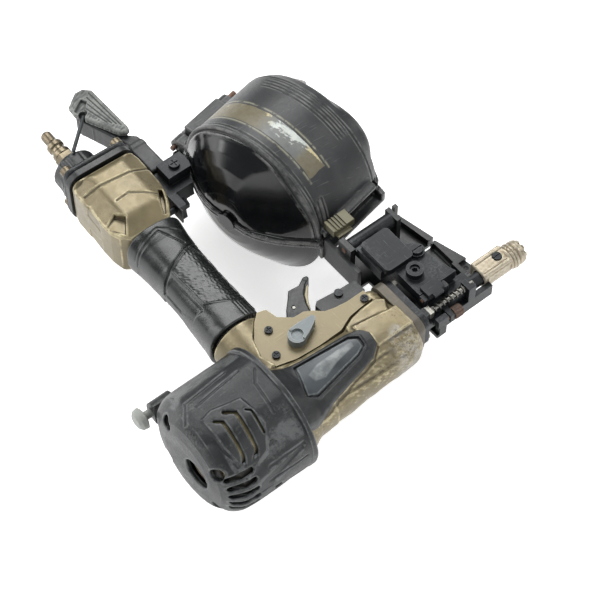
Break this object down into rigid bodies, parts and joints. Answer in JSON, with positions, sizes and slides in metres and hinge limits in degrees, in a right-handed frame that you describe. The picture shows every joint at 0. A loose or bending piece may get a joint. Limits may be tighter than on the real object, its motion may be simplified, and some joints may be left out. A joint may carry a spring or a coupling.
{
  "type": "coil roofing nailer",
  "caption": "Air-driven coil nailer with a drum magazine, hinged cover, feed door, trigger, spring-loaded contact nose and belt hook.",
  "frame": {"origin": "drive axis at the end face of the contact nose", "axes": "+X is the drive direction, out of the nose; +Y runs out along the handle to the air plug; +Z is the side the feed door faces"},
  "size_m": [0.28, 0.328, 0.1212],
  "materials": {
    "cast_bronze": "bronze painted casting",
    "tan_plate": "tan coated plate",
    "black_plastic": "satin black moulding",
    "black_rubber": "black rubber",
    "dark_steel": "blackened steel",
    "grey_plate": "grey coated plate",
    "bright_steel": "plain steel",
    "brass": "tarnished brass",
    "worn_steel": "worn warm-toned steel",
    "rusted_steel": "rust tinted steel",
    "grey_rubber": "worn grey rubber",
    "clear_window": "milky clear plastic"
  },
  "bodies": {
    "frame": {"body_housing": "cast_bronze", "nose_flange": "grey_plate", "nose_guide": "dark_steel", "nose_bolts": "bright_steel", "cylinder_sleeve": "bright_steel", "bumper": "black_rubber", "head_seals": "black_rubber", "cylinder_head": "cast_bronze", "cap_screws": "brass", "exhaust_cover": "black_plastic", "duster_boss": "black_plastic", "side_panel": "black_plastic", "grip_sleeve": "black_rubber", "end_spacer": "black_plastic", "end_cap": "black_plastic", "end_plate": "grey_plate", "end_cap_bolts": "brass", "air_plug": "brass", "trigger_plates": "tan_plate", "plate_screws": "bright_steel", "trigger_pin": "bright_steel", "valve_body": "bright_steel", "link_guard": "black_plastic", "nail_guide": "black_plastic", "feed_cylinder": "dark_steel", "arm_guide_rod": "bright_steel", "side_guard": "dark_steel", "magazine_base": "dark_steel", "magazine_bracket": "dark_steel", "bracket_screws": "bright_steel", "hinge_pins": "rusted_steel"},
    "driver": {"piston": "bright_steel", "driver_blade": "bright_steel"},
    "head_valve": {"head_valve": "dark_steel", "head_valve_spring": "bright_steel"},
    "trigger": {"trigger": "black_plastic", "trigger_inlay": "tan_plate", "contact_lever": "bright_steel"},
    "valve_stem": {"valve_stem": "bright_steel", "valve_spring": "bright_steel"},
    "mode_lever": {"mode_lever": "grey_plate"},
    "contact_arm": {"contact_arm": "dark_steel", "contact_nose": "worn_steel", "nose_screw": "dark_steel", "arm_spring": "bright_steel"},
    "depth_dial": {"depth_dial": "rusted_steel"},
    "duster_button": {"duster_button": "grey_rubber"},
    "feeder": {"feed_piston": "bright_steel", "feed_pawl": "bright_steel", "feed_spring": "bright_steel"},
    "feed_door": {"feed_door": "dark_steel", "door_bolts": "bright_steel"},
    "door_latch": {"door_latch": "dark_steel"},
    "magazine_cover": {"magazine_cover": "black_plastic", "cover_window": "clear_window"},
    "cover_latch": {"cover_latch": "tan_plate"},
    "tray_post": {"tray_post": "bright_steel"},
    "coil_tray": {"coil_tray": "black_plastic"},
    "hook": {"hook_arm": "black_plastic", "hook_pad": "grey_rubber"}
  },
  "joints": [
    {"name": "driver_stroke", "type": "slide", "parent": "frame", "child": "driver", "axis": [1, 0, 0], "range_m": [0, 0.096]},
    {"name": "head_valve_lift", "type": "slide", "parent": "frame", "child": "head_valve", "axis": [-1, 0, 0], "range_m": [0, 0.004], "stiffness_N_per_m": 2000, "springref_m": -0.002, "deforming": ["head_valve_spring"]},
    {"name": "trigger_pull", "type": "hinge", "parent": "frame", "child": "trigger", "pos_m": [-0.158, 0.031, 0], "axis": [0, 0, 1], "range_deg": [0, 14], "stiffness_Nm_per_rad": 0.6, "springref_deg": -5.73},
    {"name": "valve_stem_travel", "type": "slide", "parent": "frame", "child": "valve_stem", "axis": [-1, 0, 0], "range_m": [0, 0.0036], "deforming": ["valve_spring"]},
    {"name": "mode_lever_turn", "type": "hinge", "parent": "frame", "child": "mode_lever", "pos_m": [-0.17, 0.029, 0.018], "axis": [0, 0, 1], "range_deg": [0, 90]},
    {"name": "contact_arm_slide", "type": "slide", "parent": "frame", "child": "contact_arm", "axis": [-1, 0, 0], "range_m": [0, 0.008], "stiffness_N_per_m": 900, "springref_m": -0.012, "deforming": ["arm_spring"]},
    {"name": "depth_dial_turn", "type": "hinge", "parent": "frame", "child": "depth_dial", "pos_m": [-0.07, -0.0128, 0.0044], "axis": [1, 0, 0], "range_deg": [0, 300]},
    {"name": "duster_press", "type": "slide", "parent": "frame", "child": "duster_button", "axis": [1, 0, 0], "range_m": [0, 0.003], "stiffness_N_per_m": 800, "springref_m": -0.004},
    {"name": "feed_stroke", "type": "slide", "parent": "frame", "child": "feeder", "axis": [0, -1, 0], "range_m": [0, 0.007], "stiffness_N_per_m": 600, "springref_m": -0.01, "deforming": ["feed_spring"]},
    {"name": "feed_door_open", "type": "hinge", "parent": "frame", "child": "feed_door", "pos_m": [-0.077, 0.067, 0.0125], "axis": [1, 0, 0], "range_deg": [-95, 0]},
    {"name": "door_latch_open", "type": "hinge", "parent": "frame", "child": "door_latch", "pos_m": [-0.076, 0.0024, 0.0154], "axis": [1, 0, 0], "range_deg": [0, 35], "stiffness_Nm_per_rad": 0.15, "springref_deg": -22.92},
    {"name": "magazine_cover_open", "type": "hinge", "parent": "frame", "child": "magazine_cover", "pos_m": [-0.09947, 0.22606, -0.006], "axis": [0.9816, 0.1908, 0], "range_deg": [-105, 0]},
    {"name": "cover_latch_slide", "type": "slide", "parent": "magazine_cover", "child": "cover_latch", "axis": [1, 0, 0], "range_m": [0, 0.004], "stiffness_N_per_m": 300, "springref_m": -0.004},
    {"name": "tray_height", "type": "slide", "parent": "frame", "child": "tray_post", "axis": [-0.9816, -0.1908, 0], "range_m": [0, 0.008]},
    {"name": "coil_tray_spin", "type": "hinge", "parent": "tray_post", "child": "coil_tray", "pos_m": [-0.10597, 0.14942, 0], "axis": [0.9816, 0.1908, 0], "continuous": true},
    {"name": "hook_swing", "type": "hinge", "parent": "frame", "child": "hook", "pos_m": [-0.151, 0.209, -0.002], "axis": [0, 1, 0], "range_deg": [0, 100]}
  ],
  "couplings": [
    {"joint": "valve_stem_travel", "follows": "trigger_pull", "m_per_rad": 0.013915}
  ]
}
